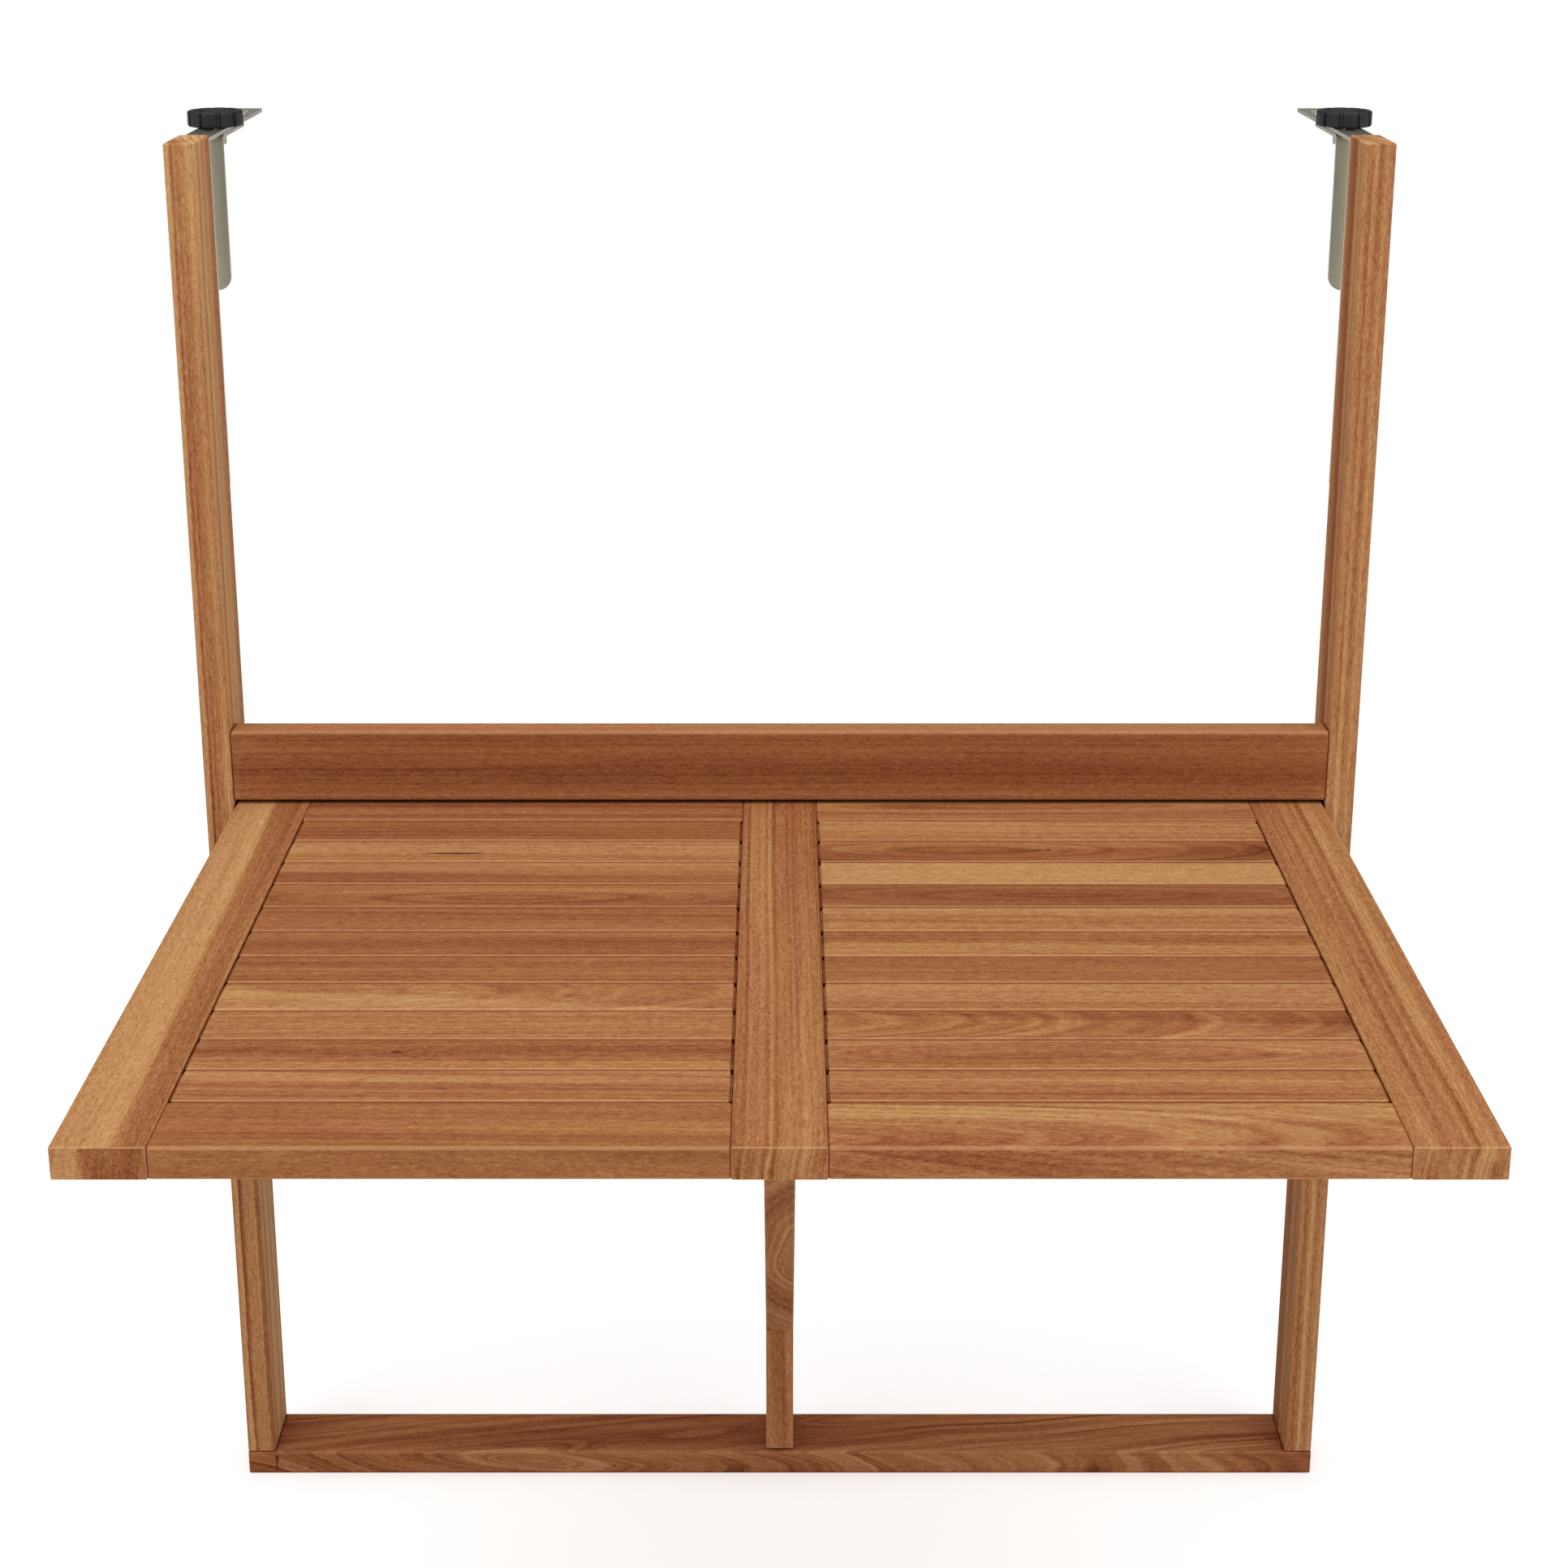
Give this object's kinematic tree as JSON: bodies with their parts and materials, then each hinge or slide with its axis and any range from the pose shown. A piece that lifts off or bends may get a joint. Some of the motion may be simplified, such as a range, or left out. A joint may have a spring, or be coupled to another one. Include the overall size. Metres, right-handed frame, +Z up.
{
  "type": "folding balcony table",
  "caption": "Slatted wooden folding table on a swinging gate leg, in an upright frame that hangs on a balcony railing by slotted steel hooks with sliding clamp jaws.",
  "frame": {"origin": "midway between the two hooks, on the rear faces of the hook strips, at the underside of the hook bars: the railing's top edge nearest the table", "axes": "+Z up; +Y from the table towards the railing, the way the hook bars point; +X to the right as seen from the table's front"},
  "size_m": [0.6488, 0.5848, 0.7973],
  "materials": {
    "upright_wood": "oiled acacia, satin, grain up the post",
    "rail_wood": "oiled acacia, satin, grain along the rail",
    "stile_wood": "oiled acacia, satin, grain from front to back",
    "end_rail_wood": "oiled acacia, satin, grain from side to side",
    "slat_wood": "oiled acacia, satin, each slat of its own tone",
    "gate_wood": "oiled acacia, satin",
    "hook_steel": "zinc plated, dull",
    "fastener_steel": "zinc plated, satin",
    "knob_plastic": "moulded black, semi-matt"
  },
  "bodies": {
    "frame": {"left_upright": "upright_wood", "right_upright": "upright_wood", "bottom_rail": "rail_wood", "crossbar": "rail_wood", "rear_rail": "rail_wood", "gate_lower_pin": "fastener_steel", "gate_upper_pin": "fastener_steel", "left_fold_bolt": "fastener_steel", "right_fold_bolt": "fastener_steel", "left_fold_washer": "fastener_steel", "right_fold_washer": "fastener_steel", "left_hook_bracket": "hook_steel", "right_hook_bracket": "hook_steel", "left_hook_screw_1": "fastener_steel", "left_hook_screw_2": "fastener_steel", "right_hook_screw_1": "fastener_steel", "right_hook_screw_2": "fastener_steel"},
    "tabletop": {"left_stile": "stile_wood", "centre_stile": "stile_wood", "right_stile": "stile_wood", "front_left_rail": "end_rail_wood", "front_right_rail": "end_rail_wood", "back_left_rail": "end_rail_wood", "back_right_rail": "end_rail_wood", "left_slat_01": "slat_wood", "left_slat_02": "slat_wood", "left_slat_03": "slat_wood", "left_slat_04": "slat_wood", "left_slat_05": "slat_wood", "left_slat_06": "slat_wood", "left_slat_07": "slat_wood", "left_slat_08": "slat_wood", "left_slat_09": "slat_wood", "left_slat_10": "slat_wood", "left_slat_11": "slat_wood", "right_slat_01": "slat_wood", "right_slat_02": "slat_wood", "right_slat_03": "slat_wood", "right_slat_04": "slat_wood", "right_slat_05": "slat_wood", "right_slat_06": "slat_wood", "right_slat_07": "slat_wood", "right_slat_08": "slat_wood", "right_slat_09": "slat_wood", "right_slat_10": "slat_wood", "right_slat_11": "slat_wood"},
    "gate_leg": {"gate_post": "gate_wood", "gate_arm": "gate_wood", "gate_brace": "gate_wood"},
    "left_clamp": {"left_jaw": "hook_steel", "left_clamp_nut": "fastener_steel"},
    "right_clamp": {"right_jaw": "hook_steel", "right_clamp_nut": "fastener_steel"},
    "left_clamp_knob": {"left_knob": "knob_plastic", "left_clamp_stud": "fastener_steel"},
    "right_clamp_knob": {"right_knob": "knob_plastic", "right_clamp_stud": "fastener_steel"}
  },
  "joints": [
    {"name": "table_fold", "type": "hinge", "parent": "frame", "child": "tabletop", "pos_m": [0, -0.0343, -0.366], "axis": [-1, 0, 0], "range_deg": [0, 12]},
    {"name": "gate_swing", "type": "hinge", "parent": "frame", "child": "gate_leg", "pos_m": [0, -0.0103, -0.7692], "axis": [0, 0, 1], "range_deg": [-90, 90]},
    {"name": "left_clamp_slide", "type": "slide", "parent": "frame", "child": "left_clamp", "axis": [0, 1, 0], "range_m": [-0.019, 0.081]},
    {"name": "right_clamp_slide", "type": "slide", "parent": "frame", "child": "right_clamp", "axis": [0, 1, 0], "range_m": [-0.019, 0.081]},
    {"name": "left_knob_turn", "type": "hinge", "parent": "left_clamp", "child": "left_clamp_knob", "pos_m": [-0.3095, 0.053, 0], "axis": [0, 0, 1], "range_deg": [0, 720]},
    {"name": "right_knob_turn", "type": "hinge", "parent": "right_clamp", "child": "right_clamp_knob", "pos_m": [0.3095, 0.053, 0], "axis": [0, 0, 1], "range_deg": [0, 720]}
  ]
}
